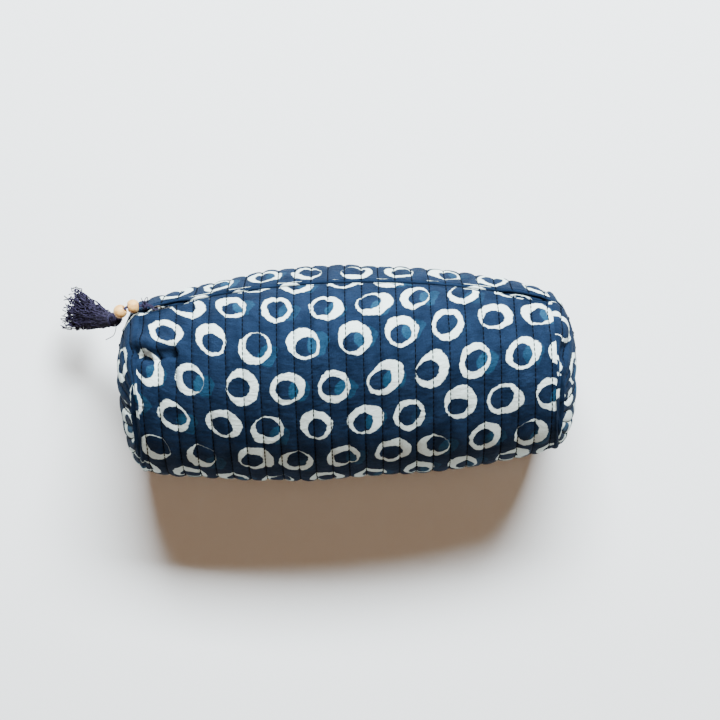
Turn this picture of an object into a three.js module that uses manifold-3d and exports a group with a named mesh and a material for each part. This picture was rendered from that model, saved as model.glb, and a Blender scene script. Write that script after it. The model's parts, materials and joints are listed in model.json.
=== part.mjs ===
// Quilted zip pouch lying on its back, in millimetres, Z up.
// X runs along the pouch, the zip side faces +Y and the front panel faces up.
import * as THREE from "three";
import { mergeVertices } from "three/addons/utils/BufferGeometryUtils.js";
import { ParametricGeometry } from "three/addons/geometries/ParametricGeometry.js";
import Module from "manifold-3d";

const wasm = await Module();
wasm.setup();

// Body of the pouch, measured along its own axes: length, zip to base, front to back.
const BODY_LENGTH = 250;
const BODY_HEIGHT = 111;
const BODY_DEPTH = 103;
const ZIP_DROP = 15;
const BASE_DROP = 8;
const END_DEPTH = 86;
const END_BULGE = 12;
const MIDDLE_ROUNDNESS = 2.6;
const END_ROUNDNESS = 3.6;
const WALL = 5;

// How the pouch lies: leaning back on its rounded base edge, pressed flat by its weight.
const ROLL = THREE.MathUtils.degToRad(28);
const SETTLE = 4;

// Quilting lines run across the pouch, one every pitch.
const QUILT_PITCH = 9;
const QUILT_DEPTH = 1.1;

// Zip opening between two rolled lips.
const MOUTH_GAP = 6;
const LIP_RADIUS = 2.7;
const MOUTH_MARGIN = 7;
const TAPE_WIDTH = 11;
const TAPE_THICKNESS = 0.8;
const TAPE_GAP = 1.8;
const COIL_SLIT = 1.2;
const COIL_HEIGHT = 1.5;
const COIL_PITCH = 3;
const FIT = 0.35;

// Slider, parked at the left end of the zip.
const SLIDER_LENGTH = 11;
const SLIDER_PLATE = 1.2;
const SLIDER_POST = 0.6;
const BAIL_RADIUS = 2.4;
const BAIL_WIRE = 1;

// Doubled cord with a knot, two wooden beads and a tassel.
const CORD = 1;
const STRAND_SPACING = 1.3;
const BEAD = 7.4;
const BEAD_LENGTH = 5.8;
const BEAD_BORE = 3;
const KNOT = 4.8;
const KNOT_LENGTH = 2.6;
const TASSEL_HEAD = 7.6;
const TASSEL_NECK = 5.4;
const TASSEL_FAN = 19;
const TASSEL_THICK = 8;
const BINDING_WIDTH = 3;
const BINDING_THICKNESS = 0.9;

// The zip side is an arc in the plane of the pouch, and the base side is a flatter one.
const SEAM_X = BODY_LENGTH / 2 - END_BULGE;
const MOUTH_LENGTH = 2 * (SEAM_X - MOUTH_MARGIN);
const END_REACH = BODY_HEIGHT / 2 - ZIP_DROP;
const ZIP_RADIUS = (SEAM_X ** 2 + ZIP_DROP ** 2) / (2 * ZIP_DROP);
const BASE_RADIUS = (SEAM_X ** 2 + BASE_DROP ** 2) / (2 * BASE_DROP);
const ARC_CENTRE = BODY_HEIGHT / 2 - ZIP_RADIUS;
const zipAngle = (x) => Math.asin(x / ZIP_RADIUS);

// A closed mesh as a solid: shared corners merged, empty triangles dropped, faces outward.
function solid(geometry) {
  const bare = geometry.clone();
  bare.deleteAttribute("normal");
  bare.deleteAttribute("uv");
  const merged = mergeVertices(bare, 1e-4);
  const position = merged.attributes.position;
  const a = new THREE.Vector3();
  const b = new THREE.Vector3();
  const c = new THREE.Vector3();
  const triangles = [];
  let volume = 0;
  for (let i = 0; i < merged.index.count; i += 3) {
    const corners = [0, 1, 2].map((k) => merged.index.getX(i + k));
    if (new Set(corners).size < 3) continue;
    a.fromBufferAttribute(position, corners[0]);
    b.fromBufferAttribute(position, corners[1]);
    c.fromBufferAttribute(position, corners[2]);
    volume += a.dot(b.cross(c));
    triangles.push(corners);
  }
  const outward = volume < 0 ? triangles.map(([i, j, k]) => [i, k, j]) : triangles;
  return new wasm.Manifold(
    new wasm.Mesh({
      numProp: 3,
      vertProperties: Float32Array.from(position.array),
      triVerts: Uint32Array.from(outward.flat()),
    }),
  );
}

function geometryOf(manifold) {
  const mesh = manifold.getMesh();
  const geometry = new THREE.BufferGeometry();
  geometry.setAttribute("position", new THREE.BufferAttribute(mesh.vertProperties, 3));
  geometry.setIndex(new THREE.BufferAttribute(mesh.triVerts, 1));
  geometry.computeVertexNormals();
  return geometry;
}

function part(name, geometry, colour, roughness, metalness = 0) {
  const material = new THREE.MeshStandardMaterial({ color: colour, roughness, metalness });
  const mesh = new THREE.Mesh(geometry, material);
  mesh.name = name;
  return mesh;
}

// A profile of (across, depth) points swept along the zip's arc into a closed solid.
function sweepZip(outlineAt, fromX, toX, steps) {
  const clockwise = THREE.ShapeUtils.isClockWise(outlineAt(0));
  const profileAt = (i) => (clockwise ? outlineAt(i).reverse() : outlineAt(i));
  const count = profileAt(0).length;
  const positions = [];
  const index = [];
  for (let i = 0; i <= steps; i++) {
    const angle = THREE.MathUtils.lerp(zipAngle(fromX), zipAngle(toX), i / steps);
    for (const { x: across, y: depth } of profileAt(i)) {
      const radius = ZIP_RADIUS - depth;
      positions.push(radius * Math.sin(angle), ARC_CENTRE + radius * Math.cos(angle), across);
    }
  }
  for (let i = 0; i < steps; i++) {
    for (let j = 0; j < count; j++) {
      const here = i * count + j;
      const beside = i * count + ((j + 1) % count);
      index.push(here, beside, here + count, beside, beside + count, here + count);
    }
  }
  for (const [i, j, k] of THREE.ShapeUtils.triangulateShape(profileAt(0), [])) {
    index.push(i, k, j);
    const last = steps * count;
    index.push(last + i, last + j, last + k);
  }
  const geometry = new THREE.BufferGeometry();
  geometry.setAttribute("position", new THREE.Float32BufferAttribute(positions, 3));
  geometry.setIndex(index);
  return geometry;
}

function tube(points, diameter, steps) {
  const round = new THREE.Shape().absarc(0, 0, diameter / 2, 0, 2 * Math.PI);
  return new THREE.ExtrudeGeometry(round, {
    steps,
    curveSegments: 4,
    bevelEnabled: false,
    extrudePath: new THREE.CatmullRomCurve3(points, false, "centripetal"),
  });
}

// The skin of the pouch. Each station is one ring of the loft: its place along the pouch,
// how far the ring is drawn together on the end panel, and how deep a quilting line pulls it in.
function stations(seamX, pitch, quilted) {
  const list = [];
  const across = Math.floor((seamX - 1) / pitch);
  list.push({ x: -seamX, close: 1, line: 0 });
  for (let i = -across; i <= across; i++) {
    list.push({ x: i * pitch, close: 1, line: quilted && i % 3 === 0 ? 1 : 0 });
  }
  list.push({ x: seamX, close: 1, line: 0 });
  const rows = Math.floor(END_REACH / QUILT_PITCH);
  for (let i = 2 * rows; i >= 0; i--) {
    const close = (i * QUILT_PITCH) / (2 * END_REACH);
    const line = quilted && i % 2 === 0 && i > 0 ? 1 : 0;
    list.push({ x: seamX, close, line });
    list.unshift({ x: -seamX, close, line });
  }
  return list;
}

function skin(inset, rings, around) {
  const at = (u, v, target) => {
    const { x, close, line } = rings[Math.round(v * (rings.length - 1))];
    const turn = 2 * Math.PI * u;
    const along = Math.min(1, Math.abs(x) / SEAM_X);
    const radius = Math.cos(turn) > 0 ? ZIP_RADIUS : BASE_RADIUS;
    const drop = radius - Math.sqrt(radius ** 2 - x ** 2);
    const onBody = close === 1;
    const pull = inset + (onBody ? line * QUILT_DEPTH : 0);
    const height = BODY_HEIGHT / 2 - drop - pull;
    const depth = THREE.MathUtils.lerp(BODY_DEPTH, END_DEPTH, along ** 2) / 2 - pull;
    const power = 2 / THREE.MathUtils.lerp(MIDDLE_ROUNDNESS, END_ROUNDNESS, along ** 3);
    const rounded = (w) => (Math.abs(w) < 1e-9 ? 0 : Math.sign(w) * Math.abs(w) ** power);
    const sideways = rounded(Math.sin(turn));
    const swell = (1 - close ** 2.2) * (1 - Math.abs(sideways) ** 3);
    const out = onBody ? 0 : swell * END_BULGE - line * QUILT_DEPTH * (1 - sideways ** 2);
    target.set(x + Math.sign(x) * out, close * height * rounded(Math.cos(turn)), depth * sideways);
  };
  return solid(new ParametricGeometry(at, around, rings.length - 1));
}

// Everything lower than a level, taken across the pouch as it lies.
function below(level) {
  const block = new THREE.BoxGeometry(2 * BODY_LENGTH, 400, 400);
  block.translate(0, 0, -200 - level);
  block.rotateX(-ROLL);
  return solid(block);
}

const shell = skin(0, stations(SEAM_X, QUILT_PITCH / 3, true), 36);
const corners = shell.getMesh().vertProperties;
let lowest = 0;
for (let i = 0; i < corners.length; i += 3) {
  const height = corners[i + 1] * Math.sin(ROLL) + corners[i + 2] * Math.cos(ROLL);
  lowest = Math.max(lowest, -height);
}
const floor = lowest - SETTLE;
const inside = skin(WALL, stations(SEAM_X - WALL, 2 * QUILT_PITCH, false), 32);

// The mouth runs along the arc, with its edges rolled over into lips.
const mouthProfile = [new THREE.Vector2(MOUTH_GAP / 2 + LIP_RADIUS, -2)];
for (let i = 0; i <= 5; i++) {
  const turn = (i / 5) * (Math.PI / 2);
  const across = MOUTH_GAP / 2 + LIP_RADIUS * (1 - Math.sin(turn));
  mouthProfile.push(new THREE.Vector2(across, LIP_RADIUS * (1 - Math.cos(turn))));
}
mouthProfile.push(new THREE.Vector2(MOUTH_GAP / 2, WALL + 2));
const mirrored = mouthProfile.map(({ x, y }) => new THREE.Vector2(-x, y)).reverse();
const mouthOutline = [...mouthProfile, ...mirrored];
const mouth = solid(
  sweepZip(() => [...mouthOutline], -MOUTH_LENGTH / 2, MOUTH_LENGTH / 2, 40),
);

const body = shell
  .subtract(below(floor))
  .subtract(inside.subtract(below(floor - WALL)))
  .subtract(mouth);

// Zip: a woven tape under each lip and a row of teeth along each tape's edge.
const TAPE_TOP = WALL + 0.45;
const TAPE_X = MOUTH_LENGTH / 2 + 1;
const COIL_TOP = TAPE_TOP - 0.3 - COIL_HEIGHT;
const LOWER_PLATE = TAPE_TOP + TAPE_THICKNESS + FIT;

function tape(side) {
  const near = (side * TAPE_GAP) / 2;
  const middle = side * TAPE_WIDTH * 0.55;
  const far = side * TAPE_WIDTH;
  const sag = 0.6;
  const profile = [
    new THREE.Vector2(near, TAPE_TOP),
    new THREE.Vector2(middle, TAPE_TOP + sag * 0.2),
    new THREE.Vector2(far, TAPE_TOP + sag),
    new THREE.Vector2(far, TAPE_TOP + sag + TAPE_THICKNESS),
    new THREE.Vector2(middle, TAPE_TOP + sag * 0.2 + TAPE_THICKNESS),
    new THREE.Vector2(near, TAPE_TOP + TAPE_THICKNESS),
  ];
  return geometryOf(solid(sweepZip(() => [...profile], -TAPE_X, TAPE_X, 28)));
}

// Each tooth is one wide station between two narrow ones, and the two rows are half a pitch apart.
function coil(side) {
  const edge = MOUTH_GAP / 2 - 0.5;
  const x = MOUTH_LENGTH / 2 - 1;
  const steps = 4 * Math.round((2 * x) / COIL_PITCH / 2);
  const profileAt = (i) => {
    const tooth = (i + (side > 0 ? 0 : 1)) % 2 === 0 ? 0 : 0.7;
    const near = side * (COIL_SLIT / 2 + tooth);
    const bevel = side * 0.35;
    return [
      new THREE.Vector2(near, COIL_TOP + 0.5),
      new THREE.Vector2(near + bevel, COIL_TOP),
      new THREE.Vector2(side * edge, COIL_TOP + 0.35),
      new THREE.Vector2(side * edge, COIL_TOP + COIL_HEIGHT),
      new THREE.Vector2(near, COIL_TOP + COIL_HEIGHT),
    ];
  };
  return geometryOf(solid(sweepZip(profileAt, -x, x, steps)));
}

// Slider: a plate above the teeth, a wider one under the tapes and a post between the rows.
function plate(halfWidth, top) {
  const half = SLIDER_LENGTH / 2;
  const outline = new THREE.Shape();
  outline.moveTo(-half, -halfWidth * 0.55);
  outline.quadraticCurveTo(-half, -halfWidth, -half * 0.4, -halfWidth);
  outline.lineTo(half * 0.6, -halfWidth);
  outline.quadraticCurveTo(half, -halfWidth, half, -halfWidth * 0.35);
  outline.lineTo(half, halfWidth * 0.35);
  outline.quadraticCurveTo(half, halfWidth, half * 0.6, halfWidth);
  outline.lineTo(-half * 0.4, halfWidth);
  outline.quadraticCurveTo(-half, halfWidth, -half, halfWidth * 0.55);
  const shape = new THREE.ExtrudeGeometry(outline, {
    depth: SLIDER_PLATE,
    bevelEnabled: false,
    curveSegments: 5,
  });
  shape.rotateX(Math.PI / 2);
  shape.translate(0, -top, 0);
  return solid(shape);
}

const UPPER_PLATE = COIL_TOP - FIT - SLIDER_PLATE;
const BAIL_X = -1.5;
const postHeight = LOWER_PLATE - UPPER_PLATE + SLIDER_PLATE / 2;
const post = new THREE.BoxGeometry(2.4, postHeight, SLIDER_POST);
post.translate(0, -UPPER_PLATE - SLIDER_PLATE / 4 - postHeight / 2, 0);
const bailPoints = [];
for (let i = 0; i <= 8; i++) {
  const turn = Math.PI * (1 - i / 8);
  bailPoints.push(
    new THREE.Vector3(
      BAIL_X + BAIL_RADIUS * Math.cos(turn),
      -UPPER_PLATE - 0.4 + (BAIL_RADIUS + 0.4) * Math.sin(turn),
      0,
    ),
  );
}
const slider = plate(MOUTH_GAP / 2 - 0.5, UPPER_PLATE)
  .add(plate(MOUTH_GAP / 2 + 0.6, LOWER_PLATE))
  .add(solid(post))
  .add(solid(tube(bailPoints, BAIL_WIRE, 16)));

// Scene graph: the pouch group leans by the roll, and the slider rides on the arc's centre.
const pouch = new THREE.Group();
pouch.rotation.x = ROLL;
const carriage = new THREE.Group();
const carriagePivot = new THREE.Group();
const SLIDER_X = -(MOUTH_LENGTH - SLIDER_LENGTH) / 2 + 1;
carriagePivot.position.y = ARC_CENTRE;
carriagePivot.rotation.z = -zipAngle(SLIDER_X);
carriage.position.y = ZIP_RADIUS;
carriagePivot.add(carriage);

const INDIGO = "#2f4a78";
const bodyMesh = part("quilted_body", geometryOf(body), INDIGO, 0.9);
pouch.add(bodyMesh);
pouch.add(part("zip_tape_front", tape(1), "#1d2740", 0.9));
pouch.add(part("zip_tape_back", tape(-1), "#1d2740", 0.9));
pouch.add(part("zip_coil_front", coil(1), "#171d30", 0.55));
pouch.add(part("zip_coil_back", coil(-1), "#171d30", 0.55));
pouch.add(carriagePivot);
carriage.add(part("zip_slider", geometryOf(slider), "#8a8577", 0.4, 0.9));

// The pull hangs from the bail with its own axes upright, so it is laid out as it lies.
const pull = new THREE.Group();
pull.position.set(BAIL_X, -UPPER_PLATE + BAIL_RADIUS / 2 - 0.25, 0);
pull.quaternion
  .setFromEuler(pouch.rotation)
  .multiply(new THREE.Quaternion().setFromEuler(carriagePivot.rotation))
  .invert();
carriage.add(pull);

const knotAt = new THREE.Vector3(-6.8, 1.9, 1.4);
const upperAt = new THREE.Vector3(-13, 1.6, 2.7);
const lowerAt = new THREE.Vector3(-19.8, -1, 3.6);
const headAt = new THREE.Vector3(-23, -4, -5);
const upperAxis = new THREE.Vector3(-0.98, -0.08, 0.18).normalize();
const lowerAxis = new THREE.Vector3(-0.86, -0.46, -0.2).normalize();
const headAxis = new THREE.Vector3(-0.36, -0.15, -0.92).normalize();
const along = (point, axis, reach) => point.clone().addScaledVector(axis, reach);
const bailAcross = new THREE.Vector3(0, -Math.sin(ROLL), Math.cos(ROLL));
const middleLine = [
  new THREE.Vector3(-1.6, 0.1, 0),
  along(knotAt, upperAxis, -1.6),
  along(knotAt, upperAxis, 1.6),
  along(upperAt, upperAxis, -BEAD_LENGTH / 2),
  upperAt,
  along(upperAt, upperAxis, BEAD_LENGTH / 2),
  along(lowerAt, lowerAxis, -BEAD_LENGTH / 2),
  lowerAt,
  along(lowerAt, lowerAxis, BEAD_LENGTH / 2),
  along(headAt, headAxis, -2.4),
  along(headAt, headAxis, -0.35),
];
const strand = (side) =>
  middleLine.map((point, i) => {
    const spread = i === 0 ? 1.25 : STRAND_SPACING / 2;
    return along(point, bailAcross, side * spread);
  });
const turnRound = [along(new THREE.Vector3(0, 0, 0), bailAcross, 0)];
const cordPoints = [...strand(1).reverse(), ...turnRound, ...strand(-1)];
pull.add(part("pull_cord", tube(cordPoints, CORD, 84), "#231f38", 0.85));

// A ring turned about its own axis from a closed profile of (radius, height) points.
function ring(name, at, axis, profile, segments, colour, roughness) {
  const points = [...profile, profile[0]].map(([r, h]) => new THREE.Vector2(r, h));
  const turned = geometryOf(solid(new THREE.LatheGeometry(points, segments)));
  const mesh = part(name, turned, colour, roughness);
  mesh.position.copy(at);
  mesh.quaternion.setFromUnitVectors(new THREE.Vector3(0, 1, 0), axis);
  return mesh;
}

const beadProfile = [[BEAD_BORE / 2, -BEAD_LENGTH / 2]];
for (let i = 0; i <= 8; i++) {
  const height = (i / 8 - 0.5) * BEAD_LENGTH;
  beadProfile.push([Math.sqrt((BEAD / 2) ** 2 - (height * 0.98) ** 2), height]);
}
beadProfile.push([BEAD_BORE / 2, BEAD_LENGTH / 2]);
const WOOD = "#e6c58e";
pull.add(ring("bead_upper", upperAt, upperAxis, beadProfile, 24, WOOD, 0.55));
pull.add(ring("bead_lower", lowerAt, lowerAxis, beadProfile, 24, WOOD, 0.55));

const knotBore = STRAND_SPACING / 2 + CORD / 2 + FIT;
const knotProfile = [[knotBore, -KNOT_LENGTH / 2]];
for (let i = 0; i <= 6; i++) {
  const turn = (i / 6 - 0.5) * Math.PI;
  const swell = (KNOT / 2 - knotBore) * Math.cos(turn) ** 0.6;
  knotProfile.push([knotBore + 0.15 + swell, (Math.sin(turn) * KNOT_LENGTH) / 2]);
}
knotProfile.push([knotBore, KNOT_LENGTH / 2]);
pull.add(ring("cord_knot", knotAt, upperAxis, knotProfile, 18, "#2b2544", 0.9));

// Tassel: a tied head, a waist under the binding, and a skirt that fans out towards its tips.
const tasselLine = new THREE.CatmullRomCurve3([
  headAt,
  along(headAt, headAxis, 7),
  new THREE.Vector3(-34, -3, -29),
  new THREE.Vector3(-48, 2.5, -53),
]);
const tasselLength = tasselLine.getLength();
const WAIST = 7.6;
const SKIRT_STEPS = 22;

function tasselHalf(distance, wide) {
  const tip = (wide ? TASSEL_FAN : TASSEL_THICK) / 2;
  if (distance < WAIST) {
    const dome = Math.sin(Math.min(1, distance / 2.6) * (Math.PI / 2));
    const waist = THREE.MathUtils.smoothstep(distance, 2.6, 4.2);
    return THREE.MathUtils.lerp(TASSEL_HEAD / 2, TASSEL_NECK / 2, waist) * dome;
  }
  const share = (distance - WAIST) / (tasselLength - WAIST);
  const flare = THREE.MathUtils.smoothstep(share, 0, 0.25);
  const shoulder = THREE.MathUtils.lerp(TASSEL_NECK / 2, TASSEL_HEAD / 2, flare);
  return shoulder + (tip - TASSEL_HEAD / 2) * share ** 1.4;
}

const tassel = new ParametricGeometry(
  (u, v, target) => {
    const ringIndex = Math.round(v * (SKIRT_STEPS + 1));
    const closing = ringIndex === SKIRT_STEPS + 1;
    const share = Math.min(1, ringIndex / SKIRT_STEPS);
    const distance = tasselLength * share ** 1.3;
    const centre = tasselLine.getPointAt(distance / tasselLength);
    const ahead = tasselLine.getTangentAt(distance / tasselLength);
    const wideAxis = new THREE.Vector3(0.25, 1, 0).addScaledVector(ahead, -ahead.y).normalize();
    const thinAxis = new THREE.Vector3().crossVectors(ahead, wideAxis).normalize();
    wideAxis.crossVectors(thinAxis, ahead);
    const turn = 2 * Math.PI * u;
    const strands = 1 - 0.1 * share * (0.5 + 0.5 * Math.cos(12 * turn));
    const size = closing ? 0 : strands;
    target
      .copy(centre)
      .addScaledVector(wideAxis, size * tasselHalf(distance, true) * Math.cos(turn))
      .addScaledVector(thinAxis, size * tasselHalf(distance, false) * Math.sin(turn));
  },
  36,
  SKIRT_STEPS + 1,
);
pull.add(part("tassel_threads", geometryOf(solid(tassel)), "#26223c", 0.95));

const neckAt = tasselLine.getPointAt((WAIST - 1.6) / tasselLength);
const neckAxis = tasselLine.getTangentAt((WAIST - 1.6) / tasselLength);
const bindingBore = TASSEL_NECK / 2 + FIT;
const bindingProfile = [
  [bindingBore, -BINDING_WIDTH / 2],
  [bindingBore + BINDING_THICKNESS * 0.7, -BINDING_WIDTH / 2],
  [bindingBore + BINDING_THICKNESS, -BINDING_WIDTH / 4],
  [bindingBore + BINDING_THICKNESS * 0.8, 0],
  [bindingBore + BINDING_THICKNESS, BINDING_WIDTH / 4],
  [bindingBore + BINDING_THICKNESS * 0.7, BINDING_WIDTH / 2],
  [bindingBore, BINDING_WIDTH / 2],
];
pull.add(ring("tassel_binding", neckAt, neckAxis, bindingProfile, 20, "#3a3358", 0.9));

// The pouch stands on the floor, centred under its own box.
const object = new THREE.Group();
object.add(pouch);
pouch.position.z = floor;
object.updateMatrixWorld(true);
const extent = new THREE.Box3().setFromObject(bodyMesh, true);
pouch.position.y = -(extent.min.y + extent.max.y) / 2;
object.updateMatrixWorld(true);

export default object;
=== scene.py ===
"""Quilted cotton zip pouch with an indigo ring print and a beaded tassel pull, lying on its back."""

import json
import math

import bpy
import numpy as np
from mathutils import Matrix, Vector, noise


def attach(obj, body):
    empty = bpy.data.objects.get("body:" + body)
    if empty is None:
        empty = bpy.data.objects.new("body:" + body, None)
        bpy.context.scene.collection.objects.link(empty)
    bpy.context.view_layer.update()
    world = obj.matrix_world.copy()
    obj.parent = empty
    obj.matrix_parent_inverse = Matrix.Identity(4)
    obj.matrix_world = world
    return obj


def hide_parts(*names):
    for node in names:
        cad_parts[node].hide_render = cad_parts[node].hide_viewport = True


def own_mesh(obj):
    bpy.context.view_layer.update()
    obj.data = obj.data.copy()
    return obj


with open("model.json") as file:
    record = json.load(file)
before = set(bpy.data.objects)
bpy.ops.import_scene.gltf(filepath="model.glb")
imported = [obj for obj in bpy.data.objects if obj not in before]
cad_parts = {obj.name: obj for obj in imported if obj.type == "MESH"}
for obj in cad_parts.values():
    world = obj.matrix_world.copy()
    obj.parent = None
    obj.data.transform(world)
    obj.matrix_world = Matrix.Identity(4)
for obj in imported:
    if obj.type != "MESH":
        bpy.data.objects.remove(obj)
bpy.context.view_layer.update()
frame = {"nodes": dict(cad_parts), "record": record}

# The view: straight down on the pouch from about a metre up, turned a little so that its
# right end sits higher. A cool wide window lies beyond the zip side, and a dim warm lamp
# hangs overhead.
view_height = 1.05
view_width = 0.3955
middle_height = 0.05
turn = math.radians(1.6)
eye_right = 0.0069
eye_up = 0.0071
right = Vector((math.cos(turn), -math.sin(turn), 0))
up = Vector((math.sin(turn), math.cos(turn), 0))
camera = bpy.data.objects.new("camera", bpy.data.cameras.new("camera"))
bpy.context.collection.objects.link(camera)
eye = right * eye_right + up * eye_up + Vector((0, 0, view_height))
camera.matrix_world = Matrix(
    ((right.x, up.x, 0, eye.x), (right.y, up.y, 0, eye.y), (0, 0, 1, eye.z), (0, 0, 0, 1))
)
camera.data.lens = camera.data.sensor_width * (view_height - middle_height) / view_width
bpy.context.scene.camera = camera
window = bpy.data.lights.new("window", "AREA")
window.shape = "RECTANGLE"
window.size = 1.4
window.size_y = 0.48
window.energy = 240
window.color = (0.84, 0.94, 1)
ceiling = bpy.data.lights.new("ceiling", "AREA")
ceiling.shape = "DISK"
ceiling.size = 1.3
ceiling.energy = 9
ceiling.color = (1, 0.67, 0.43)
window_at = (0.24, 1.355, 1.375)
ceiling_at = (0, -0.25, 1.8)
for light, place in ((window, window_at), (ceiling, ceiling_at)):
    lamp = bpy.data.objects.new(light.name, light)
    lamp.location = place
    lamp.rotation_euler = (-lamp.location).to_track_quat("-Z", "Y").to_euler()
    bpy.context.collection.objects.link(lamp)
world = bpy.data.worlds.new("room")
world.use_nodes = True
background = world.node_tree.nodes["Background"]
background.inputs["Color"].default_value = (1, 0.74, 0.55, 1)
background.inputs["Strength"].default_value = 0.07
bpy.context.scene.world = world

# The floor: a plain sheet of pale card under the pouch, matt and very slightly warm.
floor_reach = 3
floor_level = -0.0004
floor_sides = ((-1, -1), (1, -1), (1, 1), (-1, 1))
floor_corners = [(x * floor_reach, y * floor_reach, floor_level) for x, y in floor_sides]
floor_mesh = bpy.data.meshes.new("floor")
floor_mesh.from_pydata(floor_corners, [], [(0, 1, 2, 3)])
floor = bpy.data.objects.new("floor", floor_mesh)
bpy.context.collection.objects.link(floor)
card = bpy.data.materials.new("pale_card")
card.use_nodes = True
card_shader = card.node_tree.nodes["Principled BSDF"]
card_shader.inputs["Base Color"].default_value = (0.8, 0.79, 0.78, 1)
card_shader.inputs["Roughness"].default_value = 0.9
floor_mesh.materials.append(card)

# The pouch body: one strip of quilted cotton folded round the base, its two edges rolled
# into lips at the zip and its corners boxed, so each end is a soft panel with a seam across.
zip_hinge = frame["record"]["behaviour"]["joints"][0]
arc_middle = np.array(zip_hinge["pos_m"])
to_front = -np.array(zip_hinge["axis"])
to_right = np.array([1.0, 0, 0])
to_zip = np.cross(to_front, to_right)
half_height = 0.0555
half_depth = 0.0515
end_half_depth = 0.043
zip_reach = 0.113
zip_drop = 0.015
base_drop = 0.008
base_lean = 0.075
base_power = 2.3
base_fullness = 1.03
seam_x = 0.1107
end_bulge = 0.0143
zip_radius = (zip_reach**2 + zip_drop**2) / (2 * zip_drop)
base_radius = (zip_reach**2 + base_drop**2) / (2 * base_drop)
body_middle = arc_middle + to_zip * (zip_radius - half_height)
quilt_pitch = 0.009
cloth_thickness = 0.0022
lip_gap = 0.0011
lip_parting = 0.0026
lip_fold = 0.001
lip_columns = 9
panel_columns = 56
row_step = 0.0009


def smooth(low, high, value):
    share = np.clip((value - low) / (high - low), 0, 1)
    return share * share * (3 - 2 * share)


def half_section(x, side, over):
    """One side of the cross section, from inside the lip to the middle of the base.

    The lips part at both ends of the zip, where the slider stops.
    """
    along = min(1, abs(x) / seam_x)
    zip_tall = half_height - zip_radius + math.sqrt(zip_radius**2 - x**2)
    base_tall = half_height - base_radius + math.sqrt(base_radius**2 - x**2)
    base_tall *= base_fullness - base_lean * x / seam_x - 0.02 * smooth(0.088, seam_x, abs(x))
    deep = half_depth + (end_half_depth - half_depth) * along**2
    parted = lip_parting * smooth(0.112, 0.104, abs(x)) * smooth(0.080, 0.092, abs(x))
    fold = lip_fold - 0.0007 * smooth(0, 0.004, over)
    gap = lip_gap + parted - 0.0008 * smooth(0.100, 0.112, abs(x)) - 0.0002 * smooth(0, 0.004, over)
    hem = [(0.0034, 0.0065), (0.0034, 0.0040), (0.0032, 0.0026), (gap + fold + 0.0006, 0.0021)]
    for i in range(lip_columns - 4):
        angle = -math.pi / 2 + math.pi * (i + 0.5) / (lip_columns - 4)
        hem.append((gap + fold - fold * math.cos(angle), fold - fold * math.sin(angle)))
    hem = np.array([(b, zip_tall - depth) for b, depth in hem])
    zip_power = (2.6 if side > 0 else 2.9) - 0.6 * along**2
    first = math.asin(((gap + fold * 1.2) / deep) ** (zip_power / 2))
    angle = np.linspace(first, math.pi, 900)
    above = np.cos(angle) > 0
    power = np.where(above, zip_power, base_power)
    b = deep * np.abs(np.sin(angle)) ** (2 / power)
    n = np.where(above, zip_tall, -base_tall) * np.abs(np.cos(angle)) ** (2 / power)
    run = np.concatenate([[0], np.cumsum(np.hypot(np.diff(b), np.diff(n)))])
    even = np.linspace(0, run[-1], panel_columns + 1)
    panel = np.stack([np.interp(even, run, b), np.interp(even, run, n)], axis=1)
    return np.concatenate([hem, panel]) * (side, 1)


zip_squareness = 2.4
base_squareness = 3.4
cap_power = 0.6
close_steps = np.linspace(1, 0, 600)
cap_out = end_bulge * (1 - close_steps**zip_squareness) ** cap_power
cap_rise = close_steps * (half_height - zip_drop)
cap_run = np.concatenate([[0], np.cumsum(np.hypot(np.diff(cap_rise), np.diff(cap_out)))])
body_rows = round(seam_x / row_step)
cap_rows = math.floor(cap_run[-1] / row_step)
cap_length = cap_rows * row_step
rows = np.arange(-body_rows - cap_rows, body_rows + cap_rows + 1) * row_step
columns = 2 * (lip_columns + panel_columns) + 1
skin = np.zeros((len(rows), columns, 3))
cloth = np.zeros((len(rows), columns, 2))
tucked = np.zeros((len(rows), columns))
hem_depth = np.linspace(1, 1 / lip_columns, lip_columns)
limit_softness = 0.02
for j, u in enumerate(rows):
    x = max(-seam_x, min(seam_x, u))
    over = max(0.0, abs(u) - seam_x)
    outer = math.copysign(1, u)
    front_side = half_section(x, 1, over)
    back_side = half_section(x, -1, over)
    ring = np.concatenate([front_side, back_side[::-1][1:]])
    run = np.concatenate([[0], np.cumsum(np.hypot(*np.diff(ring, axis=0).T))])
    cloth[j, :, 0] = u
    cloth[j, :, 1] = run - run[lip_columns + panel_columns]
    close = float(np.interp(min(1, over / cap_length) * cap_run[-1], cap_run, close_steps))
    edge = np.abs(ring[:, 0]) / end_half_depth
    tucked[j] = smooth(0.80, 0.95, edge) * smooth(0, 0.005, over)
    limit = 1.03 - 0.15 * smooth(0, 0.005, over)
    folded = limit - limit_softness * np.log1p(np.exp((limit - edge) / limit_softness))
    edge = edge + (folded - edge) * smooth(0, 0.002, over)
    squareness = np.where(ring[:, 1] > 0, zip_squareness, base_squareness)
    swell = (1 - close**squareness) ** cap_power * (1 - np.clip(edge, 0, 1) ** 2.6)
    skin[j, :, 0] = x + outer * end_bulge * swell
    skin[j, :, 1] = ring[:, 1] * close
    skin[j, :, 2] = np.sign(ring[:, 0]) * edge * end_half_depth
    sewn = smooth(0, 0.003, over)
    for lip, first, sink in (
        (slice(0, lip_columns), lip_columns, hem_depth),
        (slice(columns - lip_columns, columns), columns - 1 - lip_columns, hem_depth[::-1]),
    ):
        inside = np.tile(skin[j, first], (lip_columns, 1))
        inside[:, 0] -= outer * 0.003 * sink
        inside[:, 2] *= 1 - 0.8 * sink
        skin[j, lip] += sewn * (inside - skin[j, lip])

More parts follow.
